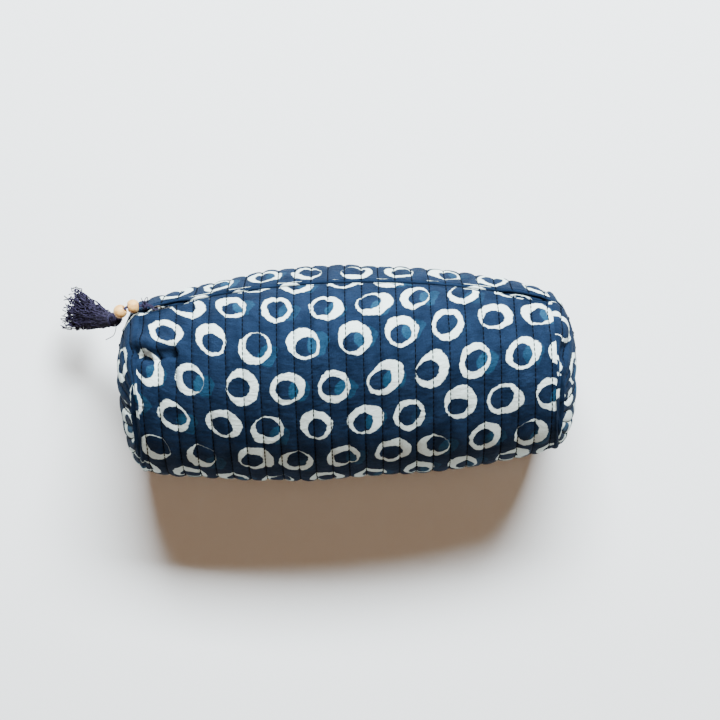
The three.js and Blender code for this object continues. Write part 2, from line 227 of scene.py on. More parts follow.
# Relief on the body: the channels puff up between their stitch lines, the stitches pucker the
# cloth, the corner seams pull in, the upper left corner is dented with a crease below it, and
# the right end is pinched.
stitch_depth = 0.0008
stitch_width = 0.0008
dent = [(-0.1122, 0.0150), (-0.1026, 0.0110), (-0.0915, 0.0140)]
above_dent = [(-0.1085, 0.0200), (-0.1010, 0.0165), (-0.0930, 0.0190)]
below_dent = [(-0.0912, 0.0140), (-0.0899, -0.0072)]
right_pinch = [(0.1165, 0.0110), (0.1150, 0.0060)]
outward = np.cross(np.gradient(skin, axis=1), np.gradient(skin, axis=0))
outward /= np.linalg.norm(outward, axis=2, keepdims=True).clip(1e-12)
if outward[len(rows) // 2, lip_columns + panel_columns // 2, 2] < 0:
    outward = -outward
u = cloth[:, :, 0]
v = cloth[:, :, 1]
from_stitch = np.abs((u / quilt_pitch + 0.5) % 1 - 0.5) * quilt_pitch
lift = -0.0005 * (1 - np.abs(np.sin(np.pi * u / quilt_pitch)) ** 0.6)
lift -= stitch_depth * np.exp(-from_stitch / stitch_width)
for j in range(len(rows)):
    for i in range(lip_columns, columns - lip_columns):
        spot = Vector((u[j, i], v[j, i], 0))
        pucker = noise.noise(Vector((spot.x / 0.0065, spot.y / 0.0034, 3.1)))
        sag = noise.noise(spot / 0.030 + Vector((0, 0, 7.7)))
        ripple = noise.noise(Vector((spot.x / 0.009, spot.y / 0.016, 11.3)))
        lift[j, i] += 0.00035 * pucker + 0.0011 * sag + 0.0005 * ripple


def laid_out(points):
    """Places along the pouch, towards the zip and towards the front, in the part's own frame."""
    return (
        body_middle
        + points[:, :, 0, None] * to_right
        + points[:, :, 1, None] * to_zip
        + points[:, :, 2, None] * to_front
    )


flat_at = laid_out(skin)[:, :, :2]
facing_up = outward[:, :, 1] * to_zip[2] + outward[:, :, 2] * to_front[2]


def crease(path, width):
    """How near each point of the upper side is to a line drawn on it, from 1 down to 0."""
    near = np.full(u.shape, 1.0)
    for start, end in zip(path[:-1], path[1:]):
        reach = np.subtract(end, start)
        share = np.clip(((flat_at - start) @ reach) / (reach @ reach), 0, 1)
        near = np.minimum(near, np.linalg.norm(flat_at - start - share[:, :, None] * reach, axis=2))
    return np.exp(-((near / width) ** 2)) * smooth(0.05, 0.35, facing_up)


from_lip = np.minimum(np.arange(columns), columns - 1 - np.arange(columns)) - lip_columns
lift -= 0.0011 * np.exp(-(((np.abs(u) - seam_x) / 0.0015) ** 2))
lift -= 0.0016 * np.exp(-(((np.abs(u) - seam_x - cap_length) / 0.0022) ** 2))
lift -= 0.0062 * crease(dent, 0.0023)
lift += 0.0032 * crease(above_dent, 0.0034)
lift -= 0.0021 * crease(below_dent, 0.0021)
lift -= 0.0045 * crease(right_pinch, 0.0028)
lift *= smooth(-1, 4, from_lip)[None, :] * (1 - tucked)
skin += outward * lift[:, :, None]
body_points = laid_out(skin)
height = body_points[:, :, 2]
resting_softness = 0.0012
body_points[:, :, 2] = 0.5 * (height + np.sqrt(height**2 + resting_softness**2))

faces = []
for j in range(len(rows) - 1):
    for i in range(columns - 1):
        here = j * columns + i
        faces.append((here, here + 1, here + columns + 1, here + columns))
body_mesh = bpy.data.meshes.new("pouch_cloth")
body_mesh.from_pydata(body_points.reshape(-1, 3).tolist(), [], faces)

# How the print lies on the cloth: rows wander along the front, run beside the zip on the back,
# turn down the end panels, and leave the folds at the corners plain.
row_wander = (36.0, 8.6, -0.10, -0.076, 0)
wander_reach = 0.115
plain_spot = (0.0014, -0.1450)
back_row_at = 0.1867
back_column_shift = 0.0125
cloth_scale = 2
cloth_middle = 0.5
row_drift = np.polyval(row_wander, np.clip(u, -wander_reach, wander_reach))
back_share = smooth(0.02, 0.13, v)
back_drift = v.max(axis=1)[:, None] - back_row_at
row_drift = row_drift * (1 - back_share) + back_drift * back_share
on_panel = np.stack([u - back_column_shift * back_share, v - row_drift], axis=2).reshape(-1, 2)
down_end = np.sign(u) * (seam_x + half_height - zip_drop - np.abs(skin[:, :, 1]))
past_seam = np.clip(np.abs(skin[:, :, 0]) - seam_x, 0, None)
depth = skin[:, :, 2] * (1 - 0.8 * past_seam / end_half_depth)
on_base_end = np.stack([down_end, depth], axis=2).reshape(-1, 2)
on_zip_end = np.stack([down_end, np.sign(depth) * np.max(v) - depth], axis=2).reshape(-1, 2)
corner_of = np.zeros(len(body_mesh.loops), dtype=np.int32)
body_mesh.loops.foreach_get("vertex_index", corner_of)
face_row, face_column = np.divmod(np.arange(len(corner_of)) // 4, columns - 1)
on_end = (face_row < cap_rows) | (face_row >= len(rows) - 1 - cap_rows)
zip_columns = int(np.argmax(skin[cap_rows, lip_columns : columns // 2, 1] < 0)) + lip_columns
zip_side = np.minimum(face_column, columns - 2 - face_column) < zip_columns
on_cloth = np.where((on_end & zip_side)[:, None], on_zip_end[corner_of], on_base_end[corner_of])
on_cloth = np.where(on_end[:, None], on_cloth, on_panel[corner_of])
in_fold = np.repeat(tucked.reshape(-1)[corner_of].reshape(-1, 4).min(axis=1) > 0.5, 4)
fold_way = np.stack([np.abs(skin[:, :, 0]) - seam_x, skin[:, :, 1]], axis=2).reshape(-1, 2)
on_fold = np.array(plain_spot) + fold_way * (0.3, 0.1)
on_cloth = np.where(in_fold[:, None], on_fold[corner_of], on_cloth)
layer = body_mesh.uv_layers.new(name="cloth")
layer.data.foreach_set("uv", (on_cloth * cloth_scale + cloth_middle).ravel().astype(np.float32))
pouch_cloth = bpy.data.objects.new("pouch_cloth", body_mesh)
bpy.context.collection.objects.link(pouch_cloth)
middle_face = body_mesh.polygons[(len(rows) // 2) * (columns - 1) + lip_columns + panel_columns // 2]
if middle_face.normal.z < 0:
    body_mesh.flip_normals()
body_mesh.shade_smooth()
wall = pouch_cloth.modifiers.new("wall", "SOLIDIFY")
wall.thickness = cloth_thickness
wall.offset = -1
wall.use_even_offset = False


def add_node(tree, kind, inputs=None, **settings):
    """A node with its settings, each of its inputs either set or linked."""
    made = tree.nodes.new(kind)
    for name, value in settings.items():
        setattr(made, name, value)
    for key, value in (inputs or {}).items():
        if isinstance(value, bpy.types.NodeSocket):
            tree.links.new(value, made.inputs[key])
        else:
            made.inputs[key].default_value = value
    return made


def maths(tree, operation, *values):
    made = add_node(tree, "ShaderNodeMath", dict(enumerate(values)), operation=operation)
    return made.outputs[0]


def vectors(tree, operation, *values):
    made = add_node(tree, "ShaderNodeVectorMath", dict(enumerate(values)), operation=operation)
    return made.outputs[0]


def length_of(tree, vector):
    made = add_node(tree, "ShaderNodeVectorMath", {0: vector}, operation="LENGTH")
    return made.outputs["Value"]


def ramp_between(tree, value, low, high):
    made = add_node(
        tree,
        "ShaderNodeMapRange",
        {"Value": value, "From Min": low, "From Max": high},
        interpolation_type="SMOOTHSTEP",
    )
    return made.outputs["Result"]


def mix_colour(tree, share, first, second):
    made = add_node(tree, "ShaderNodeMix", data_type="RGBA")
    for key, value in ((0, share), (6, first), (7, second)):
        if isinstance(value, bpy.types.NodeSocket):
            tree.links.new(value, made.inputs[key])
        else:
            made.inputs[key].default_value = value
    return made.outputs[2]


def speckle_of(tree, place, scale, detail=3.0, roughness=0.6):
    made = add_node(
        tree,
        "ShaderNodeTexNoise",
        {"Vector": place, "Scale": scale, "Detail": detail, "Roughness": roughness},
    )
    return made


def new_material(name):
    material = bpy.data.materials.new(name)
    material.use_nodes = True
    return material, material.node_tree, material.node_tree.nodes["Principled BSDF"]


# Plain weave, shared by the cotton and the zip tape: threads over and under at a set pitch.
weave = bpy.data.node_groups.new("plain_weave", "ShaderNodeTree")
weave.interface.new_socket("Place", in_out="INPUT", socket_type="NodeSocketVector")
weave.interface.new_socket("Thread Pitch", in_out="INPUT", socket_type="NodeSocketFloat")
weave.interface.new_socket("Height", in_out="OUTPUT", socket_type="NodeSocketFloat")
weave_in = weave.nodes.new("NodeGroupInput")
weave_out = weave.nodes.new("NodeGroupOutput")
per_metre = maths(weave, "DIVIDE", math.pi, weave_in.outputs["Thread Pitch"])
weave_scale = add_node(
    weave,
    "ShaderNodeVectorMath",
    {0: weave_in.outputs["Place"], "Scale": per_metre},
    operation="SCALE",
)
weave_split = add_node(weave, "ShaderNodeSeparateXYZ", {0: weave_scale.outputs[0]})
warp = maths(weave, "SINE", weave_split.outputs[0])
weft = maths(weave, "SINE", weave_split.outputs[1])
crossing = maths(weave, "ABSOLUTE", maths(weave, "MULTIPLY", warp, weft))
weave.links.new(crossing, weave_out.inputs["Height"])

# The print: rows of hand-stamped rings left off-white on indigo, each round an off-centre dot,
# and a third stamp of thin teal that slips to the right, over the dot and past the ring.
print_material, tree, cotton = new_material("ring_print_cotton")
ring_step = (0.0247, 0.0228)
ring_lean = 0.01027
ring_phase = (-0.2379, -0.0950)
ring_radius = 0.0087
dot_radius = 0.0058
teal_radius = 0.0060
stamp_spread = 0.0010
stamp_squeeze = 0.07
dot_slip = 0.0048
teal_slip = 0.0040
teal_offset = (0.0066, 0.0022, 0)
edge_wobble = 0.0028
edge_ragged = 0.0014
indigo = (0.0084, 0.0175, 0.040, 1)
deep_indigo = (0.0036, 0.0080, 0.020, 1)
teal = (0.012, 0.046, 0.086, 1)
off_white = (0.64, 0.73, 0.69, 1)
aged_white = (0.42, 0.50, 0.46, 1)
uv = add_node(tree, "ShaderNodeUVMap", uv_map="cloth").outputs[0]
place = add_node(
    tree, "ShaderNodeVectorMath", {0: uv, "Scale": 1 / cloth_scale}, operation="SCALE"
).outputs[0]
mid_grey = (0.5, 0.5, 0.5)
wobble = vectors(tree, "SUBTRACT", speckle_of(tree, place, 150.0, 2.0).outputs["Color"], mid_grey)
ragged = vectors(tree, "SUBTRACT", speckle_of(tree, place, 760.0, 4.0, 0.72).outputs["Color"], mid_grey)
shaky = vectors(tree, "MULTIPLY_ADD", wobble, (edge_wobble, edge_wobble, 0), place)
shaky = vectors(tree, "MULTIPLY_ADD", ragged, (edge_ragged, edge_ragged, 0), shaky)
shaky_uv = add_node(tree, "ShaderNodeSeparateXYZ", {0: vectors(tree, "ADD", shaky, (*ring_phase, 0))})
row_at = maths(tree, "DIVIDE", shaky_uv.outputs[1], ring_step[1])
leaned = maths(tree, "MULTIPLY_ADD", row_at, ring_lean, shaky_uv.outputs[0])
column_at = maths(tree, "DIVIDE", leaned, ring_step[0])
lattice = add_node(tree, "ShaderNodeCombineXYZ", {0: column_at, 1: row_at})
stamps = add_node(
    tree,
    "ShaderNodeTexVoronoi",
    {"Vector": lattice.outputs[0], "Scale": 1.0, "Randomness": 0.16},
    voronoi_dimensions="2D",
    feature="F1",
)
stamp_at = add_node(tree, "ShaderNodeSeparateXYZ", {0: stamps.outputs["Position"]})
chance = add_node(tree, "ShaderNodeSeparateColor", {0: stamps.outputs["Color"]}).outputs
stamp_v = maths(tree, "MULTIPLY", stamp_at.outputs[1], ring_step[1])
stamp_u = maths(
    tree,
    "SUBTRACT",
    maths(tree, "MULTIPLY", stamp_at.outputs[0], ring_step[0]),
    maths(tree, "MULTIPLY", stamp_at.outputs[1], ring_lean),
)
away_u = maths(tree, "SUBTRACT", shaky_uv.outputs[0], stamp_u)
away_v = maths(tree, "SUBTRACT", shaky_uv.outputs[1], stamp_v)
away = add_node(tree, "ShaderNodeCombineXYZ", {0: away_u, 1: away_v}).outputs[0]


def oval_from(vector, share, squeeze):
    """Distance from a stamp's middle, squeezed along a direction of its own."""
    angle = maths(tree, "MULTIPLY", share, 2 * math.pi)
    turned = add_node(
        tree, "ShaderNodeVectorRotate", {"Vector": vector, "Angle": angle}, rotation_type="Z_AXIS"
    ).outputs[0]
    return length_of(tree, vectors(tree, "MULTIPLY", turned, (1 + squeeze, 1 - squeeze, 1)))


ring_size = maths(tree, "MULTIPLY_ADD", chance[0], stamp_spread, ring_radius - stamp_spread / 2)
in_ring = maths(tree, "DIVIDE", oval_from(away, chance[1], stamp_squeeze), ring_size)
in_ring = ramp_between(tree, in_ring, 1.03, 0.98)
slip = vectors(tree, "SUBTRACT", stamps.outputs["Color"], mid_grey)
dot_away = vectors(tree, "MULTIPLY_ADD", slip, (dot_slip, dot_slip, 0), away)
dot_size = maths(tree, "MULTIPLY_ADD", chance[1], stamp_spread, dot_radius - stamp_spread / 2)
in_dot = maths(tree, "DIVIDE", oval_from(dot_away, chance[2], stamp_squeeze), dot_size)
in_dot = ramp_between(tree, in_dot, 1.04, 0.97)
dye = speckle_of(tree, place, 85.0, 5.0, 0.65).outputs["Fac"]
fine_dye = speckle_of(tree, place, 1500.0, 3.0, 0.7).outputs["Fac"]
ground = mix_colour(tree, ramp_between(tree, dye, 0.30, 0.70), deep_indigo, indigo)
teal_away = vectors(tree, "MULTIPLY_ADD", slip, (teal_slip, -teal_slip, 0), away)
teal_away = vectors(tree, "SUBTRACT", teal_away, teal_offset)
in_teal = maths(tree, "DIVIDE", length_of(tree, teal_away), teal_radius)
in_teal = ramp_between(tree, in_teal, 1.08, 0.94)
in_teal = maths(tree, "MULTIPLY", in_teal, ramp_between(tree, chance[2], 0.28, 0.62))
in_teal = maths(tree, "MULTIPLY", in_teal, ramp_between(tree, dye, 0.15, 0.62))
dot_colour = mix_colour(tree, in_teal, ground, teal)
ground = mix_colour(tree, maths(tree, "MULTIPLY", in_teal, 0.62), ground, teal)
ring_colour = mix_colour(tree, ramp_between(tree, fine_dye, 0.46, 0.78), off_white, aged_white)
stain = ramp_between(tree, fine_dye, 0.60, 0.74)
stain = maths(tree, "MULTIPLY", stain, ramp_between(tree, dye, 0.50, 0.75))
ring_colour = mix_colour(tree, maths(tree, "MULTIPLY", stain, 0.7), ring_colour, teal)
printed = mix_colour(tree, in_ring, ground, ring_colour)
printed = mix_colour(tree, maths(tree, "MULTIPLY", in_ring, in_dot), printed, dot_colour)
speckle = maths(tree, "MULTIPLY_ADD", fine_dye, 1.5, 0.25)
worn = add_node(tree, "ShaderNodeHueSaturation", {"Color": printed, "Value": speckle})
tree.links.new(worn.outputs[0], cotton.inputs["Base Color"])
cotton.inputs["Roughness"].default_value = 0.85
cotton.inputs["Specular IOR Level"].default_value = 0.10
cotton.inputs["Specular Tint"].default_value = (0.25, 0.55, 1, 1)
threads = add_node(tree, "ShaderNodeGroup", node_tree=weave)
tree.links.new(place, threads.inputs["Place"])
threads.inputs["Thread Pitch"].default_value = 0.00042
bump = add_node(
    tree,
    "ShaderNodeBump",
    {"Height": threads.outputs["Height"], "Strength": 0.35, "Distance": 0.00025},
)
drawn_up = vectors(tree, "MULTIPLY", place, (0.7, 1.5, 1))
crinkle = speckle_of(tree, drawn_up, 260.0, 4.0, 0.62).outputs["Fac"]
crinkled = add_node(
    tree,
    "ShaderNodeBump",
    {"Height": crinkle, "Normal": bump.outputs[0], "Strength": 0.8, "Distance": 0.0011},
)
tree.links.new(crinkled.outputs[0], cotton.inputs["Normal"])
body_mesh.materials.append(print_material)
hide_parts("quilted_body")
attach(pouch_cloth, "pouch")

# Quilting stitches: dark running stitches along the bottom of every groove, right round
# the pouch from lip to lip and across both end panels, each stitch a small sunken bead.
stitch_lift = 0.00024
least_tuck = 0.05
off_cloth = outward @ np.array([to_right, to_zip, to_front])
stitch_mesh = bpy.data.meshes.new("quilting_lines")
line_points = []
line_edges = []
for j, at in enumerate(rows):
    if abs(at / quilt_pitch - round(at / quilt_pitch)) > 0.01:
        continue
    for i in range(lip_columns, columns - lip_columns):
        line_points.append((body_points[j, i] + stitch_lift * off_cloth[j, i]).tolist())
        hidden = tucked[j, i] > least_tuck or i == lip_columns or tucked[j, i - 1] > least_tuck
        if not hidden:
            line_edges.append((len(line_points) - 2, len(line_points) - 1))
stitch_mesh.from_pydata(line_points, line_edges, [])
quilting_stitches = bpy.data.objects.new("quilting_stitches", stitch_mesh)
bpy.context.collection.objects.link(quilting_stitches)
thread_material, tree, thread_shader = new_material("quilting_thread")
thread_place = add_node(tree, "ShaderNodeTexCoord").outputs["Object"]
thread_tone = speckle_of(tree, thread_place, 700.0).outputs["Fac"]
thread_colour = mix_colour(tree, thread_tone, (0.0006, 0.0009, 0.002, 1), (0.0016, 0.0024, 0.005, 1))
tree.links.new(thread_colour, thread_shader.inputs["Base Color"])
thread_shader.inputs["Roughness"].default_value = 0.95
thread_shader.inputs["Specular IOR Level"].default_value = 0.05
stitch_tree = bpy.data.node_groups.new("running_stitch", "GeometryNodeTree")
stitch_tree.interface.new_socket("Lines", in_out="INPUT", socket_type="NodeSocketGeometry")
for name in ("Stitch Pitch", "Stitch Length", "Thread Radius"):
    stitch_tree.interface.new_socket(name, in_out="INPUT", socket_type="NodeSocketFloat")
stitch_tree.interface.new_socket("Stitches", in_out="OUTPUT", socket_type="NodeSocketGeometry")
stitch_in = stitch_tree.nodes.new("NodeGroupInput")
stitch_out = stitch_tree.nodes.new("NodeGroupOutput")
paths = add_node(stitch_tree, "GeometryNodeMeshToCurve", {"Mesh": stitch_in.outputs["Lines"]})
spots = add_node(
    stitch_tree,
    "GeometryNodeCurveToPoints",
    {"Curve": paths.outputs[0], "Length": stitch_in.outputs["Stitch Pitch"]},
    mode="LENGTH",
)
bead = add_node(stitch_tree, "GeometryNodeMeshUVSphere", {"Segments": 5, "Rings": 4, "Radius": 1.0})
bead_size = add_node(
    stitch_tree,
    "ShaderNodeCombineXYZ",
    {
        0: stitch_in.outputs["Thread Radius"],
        1: stitch_in.outputs["Thread Radius"],
        2: stitch_in.outputs["Stitch Length"],
    },
)
along_line = add_node(
    stitch_tree, "FunctionNodeAlignRotationToVector", {"Vector": spots.outputs["Tangent"]}, axis="Z"
)
placed = add_node(
    stitch_tree,
    "GeometryNodeInstanceOnPoints",
    {
        "Points": spots.outputs["Points"],
        "Instance": bead.outputs[0],
        "Rotation": along_line.outputs[0],
        "Scale": bead_size.outputs[0],
    },
)
real = add_node(stitch_tree, "GeometryNodeRealizeInstances", {0: placed.outputs[0]})
threaded = add_node(
    stitch_tree, "GeometryNodeSetMaterial", {0: real.outputs[0], "Material": thread_material}
)
stitch_tree.links.new(threaded.outputs[0], stitch_out.inputs[0])


def grow(piece, node_tree, values):
    """Runs a geometry tree on a piece and leaves its result as the piece's plain mesh."""
    modifier = piece.modifiers.new("grow", "NODES")
    modifier.node_group = node_tree
    for item in node_tree.interface.items_tree:
        if item.in_out == "INPUT" and item.name in values:
            modifier[item.identifier] = values[item.name]
    bpy.context.view_layer.update()
    ready = piece.evaluated_get(bpy.context.evaluated_depsgraph_get())
    result = bpy.data.meshes.new_from_object(ready)
    piece.modifiers.remove(modifier)
    piece.data = result
    piece.data.shade_smooth()


grow(
    quilting_stitches,
    stitch_tree,
    {"Stitch Pitch": 0.0027, "Stitch Length": 0.00128, "Thread Radius": 0.00038},
)
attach(quilting_stitches, "pouch")

# Zip: dark woven tapes and a nylon coil, down between the lips. Both are the solids
# themselves, the tapes given a woven finish with painted shade in the gaps between threads, the coil a
# dull moulded one.
tape_material, tree, tape_shader = new_material("zip_tape_weave")
tape_place = add_node(tree, "ShaderNodeTexCoord").outputs["Object"]
tape_weave = add_node(tree, "ShaderNodeGroup", node_tree=weave)
tree.links.new(tape_place, tape_weave.inputs["Place"])
tape_weave.inputs["Thread Pitch"].default_value = 0.0006
tape_height = tape_weave.outputs["Height"]
# The tape's colour follows the weave height, darker in the low gaps between the threads: painted shade
# between threads.
tape_colour_with_gap_shade = mix_colour(tree, tape_height, (0.006, 0.009, 0.022, 1), (0.014, 0.020, 0.045, 1))
tree.links.new(tape_colour_with_gap_shade, tape_shader.inputs["Base Color"])
tape_bump = add_node(tree, "ShaderNodeBump", {"Height": tape_height, "Strength": 0.5, "Distance": 0.0003})
tree.links.new(tape_bump.outputs[0], tape_shader.inputs["Normal"])
tape_shader.inputs["Roughness"].default_value = 0.85
coil_material, tree, coil_shader = new_material("zip_coil_nylon")
coil_place = add_node(tree, "ShaderNodeTexCoord").outputs["Object"]
coil_tone = speckle_of(tree, coil_place, 350.0).outputs["Fac"]
coil_colour = mix_colour(tree, coil_tone, (0.005, 0.007, 0.016, 1), (0.018, 0.022, 0.045, 1))
tree.links.new(coil_colour, coil_shader.inputs["Base Color"])
coil_shader.inputs["Roughness"].default_value = 0.45


def finish_node(name, material):
    solid = frame["nodes"][name]
    solid.data.materials.clear()
    solid.data.materials.append(material)


finish_node("zip_tape_front", tape_material)
finish_node("zip_tape_back", tape_material)
finish_node("zip_coil_front", coil_material)
finish_node("zip_coil_back", coil_material)

# Slider: a small plated zinc casting with rubbed edges, parked at the left end of the zip.
# It is the solid itself, with a worn and slightly uneven plating.
metal_material, tree, metal_shader = new_material("slider_plating")
metal_place = add_node(tree, "ShaderNodeTexCoord").outputs["Object"]
metal_tone = speckle_of(tree, metal_place, 600.0, 4.0).outputs["Fac"]
metal_colour = mix_colour(tree, metal_tone, (0.10, 0.095, 0.085, 1), (0.25, 0.235, 0.21, 1))
tree.links.new(metal_colour, metal_shader.inputs["Base Color"])
tree.links.new(ramp_between(tree, metal_tone, 0.1, 1.3), metal_shader.inputs["Roughness"])
metal_shader.inputs["Metallic"].default_value = 1.0
finish_node("zip_slider", metal_material)

# Pull cord: one thin twisted cotton cord, doubled through the slider's bail, through the knot
# and both beads, with its two ends tied into the head of the tassel.
bail_at = np.array((-0.100696, 0.037485, 0.071921))


def from_bail(*millimetres):
    return bail_at + np.array(millimetres) * 0.001


def direction(*parts):
    return np.array(parts) / np.linalg.norm(parts)


knot_at = from_bail(-6.8, 1.9, 1.4)
upper_bead_at = from_bail(-13, 1.6, 2.7)
lower_bead_at = from_bail(-19.8, -1, 3.6)
head_at = from_bail(-23, -4, -5)
upper_axis = direction(-0.98, -0.08, 0.18)
lower_axis = direction(-0.86, -0.46, -0.2)
head_axis = direction(-0.36, -0.15, -0.92)
bead_length = 0.0058
cord_width = 0.001
strand_spacing = 0.0013


def between(first, last, low, high, at):
    return first + (last - first) * (at - low) / (high - low)


def flow(points, step):
    """A smooth line through the points, with its own points evenly spaced, and its length."""
    points = [np.asarray(point, dtype=float) for point in points]
    padded = [2 * points[0] - points[1], *points, 2 * points[-1] - points[-2]]
    fine = []
    for p0, p1, p2, p3 in zip(padded, padded[1:], padded[2:], padded[3:]):
        t0 = 0.0
        t1 = t0 + math.dist(p0, p1) ** 0.5
        t2 = t1 + math.dist(p1, p2) ** 0.5
        t3 = t2 + math.dist(p2, p3) ** 0.5
        for t in np.linspace(t1, t2, 24, endpoint=False):
            early = between(p0, p1, t0, t1, t)
            middle = between(p1, p2, t1, t2, t)
            late = between(p2, p3, t2, t3, t)
            first_half = between(early, middle, t0, t2, t)
            second_half = between(middle, late, t1, t3, t)
            fine.append(between(first_half, second_half, t1, t2, t))
    fine = np.array([*fine, points[-1]])
    run = np.concatenate([[0], np.cumsum(np.linalg.norm(np.diff(fine, axis=0), axis=1))])
    even = np.linspace(0, run[-1], max(2, round(run[-1] / step)) + 1)
    return np.stack([np.interp(even, run, fine[:, k]) for k in range(3)], axis=1), float(run[-1])


def strand_piece(name, paths, sides):
    """One object of round strands with closed ends, each (line, radius), with a UV along and round."""
    points = []
    faces = []
    corners = []
    for line, radius in paths:
        tangent = np.gradient(line, axis=0)
        tangent /= np.linalg.norm(tangent, axis=1, keepdims=True)
        side = np.cross(tangent[0], (0.3, 0.5, 0.8))
        run = 0.0
        start = len(points)
        for k in range(len(line)):
            side = side - tangent[k] * (side @ tangent[k])
            side /= np.linalg.norm(side)
            other = np.cross(tangent[k], side)
            for m in range(sides):
                angle = 2 * math.pi * m / sides
                points.append(line[k] + radius * (math.cos(angle) * side + math.sin(angle) * other))
            if k == 0:
                continue
            before = run
            run += math.dist(line[k], line[k - 1])
            ring = start + k * sides
            for m in range(sides):
                n = (m + 1) % sides
                faces.append((ring - sides + m, ring - sides + n, ring + n, ring + m))
                low = m / sides
                high = (m + 1) / sides
                corners += [(before, low), (before, high), (run, high), (run, low)]
        last = start + (len(line) - 1) * sides
        faces.append(tuple(start + m for m in reversed(range(sides))))
        faces.append(tuple(last + m for m in range(sides)))
        corners += [(0.0, 0.0)] * sides + [(run, 0.0)] * sides
    mesh = bpy.data.meshes.new(name)
    mesh.from_pydata([tuple(point) for point in points], [], faces)
    layer = mesh.uv_layers.new(name="strand")
    layer.data.foreach_set("uv", np.array(corners, dtype=np.float32).ravel())
    mesh.shade_smooth()
    piece = bpy.data.objects.new(name, mesh)
    bpy.context.collection.objects.link(piece)
    return piece


# Twisted yarn, shared by the cord, the knot and the binding: ridges that wind round the strand.
twist = bpy.data.node_groups.new("twisted_yarn", "ShaderNodeTree")
twist.interface.new_socket("Strand", in_out="INPUT", socket_type="NodeSocketVector")
twist.interface.new_socket("Turn Length", in_out="INPUT", socket_type="NodeSocketFloat")
twist.interface.new_socket("Ridge", in_out="OUTPUT", socket_type="NodeSocketFloat")
twist_in = twist.nodes.new("NodeGroupInput")
twist_out = twist.nodes.new("NodeGroupOutput")
twist_at = add_node(twist, "ShaderNodeSeparateXYZ", {0: twist_in.outputs["Strand"]}).outputs
turns = maths(twist, "DIVIDE", twist_at[0], twist_in.outputs["Turn Length"])
phase = maths(twist, "MULTIPLY", maths(twist, "ADD", turns, twist_at[1]), 6 * math.pi)
ridge = maths(twist, "MULTIPLY_ADD", maths(twist, "SINE", phase), 0.5, 0.5)
twist.links.new(ridge, twist_out.inputs["Ridge"])


def yarn_material(name, dark, light, turn_length):
    material, tree, shader = new_material(name)
    strand = add_node(tree, "ShaderNodeUVMap", uv_map="strand").outputs[0]
    yarn = add_node(
        tree, "ShaderNodeGroup", {"Strand": strand, "Turn Length": turn_length}, node_tree=twist
    )
    fuzz_place = add_node(tree, "ShaderNodeTexCoord").outputs["Object"]
    fuzz = speckle_of(tree, fuzz_place, 1400.0).outputs["Fac"]
    # The yarn's colour is darker in the grooves of the twist, following the same ridge height as the
    # bump: painted shade in the grooves, with a random fuzz tone over it.
    ridge_shade_and_fuzz = maths(tree, "MULTIPLY", yarn.outputs["Ridge"], ramp_between(tree, fuzz, 0.2, 0.8))
    tree.links.new(mix_colour(tree, ridge_shade_and_fuzz, dark, light), shader.inputs["Base Color"])
    bump = add_node(
        tree, "ShaderNodeBump", {"Height": yarn.outputs["Ridge"], "Strength": 0.7, "Distance": 0.0002}
    )
    tree.links.new(bump.outputs[0], shader.inputs["Normal"])
    shader.inputs["Roughness"].default_value = 0.9
    shader.inputs["Specular IOR Level"].default_value = 0.2
    return material


bail_roll = math.radians(28)
across = np.array((0, -math.sin(bail_roll), math.cos(bail_roll)))
cord_middle = [
    from_bail(-1.6, 0.1, 0),
    knot_at - 0.0016 * upper_axis,
    knot_at + 0.0016 * upper_axis,
    upper_bead_at - 0.5 * bead_length * upper_axis,
    upper_bead_at,
    upper_bead_at + 0.5 * bead_length * upper_axis,
    lower_bead_at - 0.5 * bead_length * lower_axis,
    lower_bead_at,
    lower_bead_at + 0.5 * bead_length * lower_axis,
    head_at - 0.0024 * head_axis,
    head_at - 0.00035 * head_axis,
]
apart = [0.00125] + [strand_spacing / 2] * (len(cord_middle) - 1)
one_strand = [point + reach * across for point, reach in zip(cord_middle, apart)]
other_strand = [point - reach * across for point, reach in zip(cord_middle, apart)]
cord_line, cord_length = flow([*one_strand[::-1], bail_at, *other_strand], 0.0006)
pull_cord = strand_piece("pull_cord_twist", [(cord_line, cord_width / 2)], 10)
cord_material = yarn_material("violet_cord", (0.010, 0.008, 0.022, 1), (0.036, 0.028, 0.075, 1), 0.003)
pull_cord.data.materials.append(cord_material)
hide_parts("pull_cord")
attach(pull_cord, "slider")

# Knot: the doubled cord tied on itself before the first bead, with one small loop of it
# and a cut end standing up out of the turns.
ways = np.linspace(0, 4 * math.pi, 121)
knot_side = np.cross(upper_axis, (0, 0, 1.0))
knot_side /= np.linalg.norm(knot_side)
knot_up = np.cross(knot_side, upper_axis)
knot_reach = 0.00175 + 0.00042 * np.cos(1.5 * ways)
knot_turns = (
    knot_at
    + (knot_reach * np.cos(ways))[:, None] * knot_side
    + (knot_reach * np.sin(ways))[:, None] * knot_up
    + (0.00095 * np.sin(1.5 * ways))[:, None] * upper_axis
)
loop_points = [
    (0.2, 0.6, 1.4),
    (0.2, 2.0, 2.4),
    (0.9, 3.7, 2.8),
    (1.7, 4.2, 2.6),
    (1.9, 3.0, 2.2),
    (0.9, 0.9, 1.4),
]
loop_line, _ = flow([knot_at + np.array(point) * 0.001 for point in loop_points], 0.0003)
end_points = [(-0.4, 0.8, 1.4), (-0.5, 2.0, 2.2), (-1.2, 3.0, 2.4), (-1.5, 4.0, 2.2)]
end_line, _ = flow([knot_at + np.array(point) * 0.001 for point in end_points], 0.0003)
cord_knot = strand_piece(
    "cord_knot_turns", [(knot_turns, 0.00052), (loop_line, 0.00024), (end_line, 0.00024)], 8
)
cord_knot.data.materials.append(cord_material)
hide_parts("cord_knot")
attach(cord_knot, "slider")

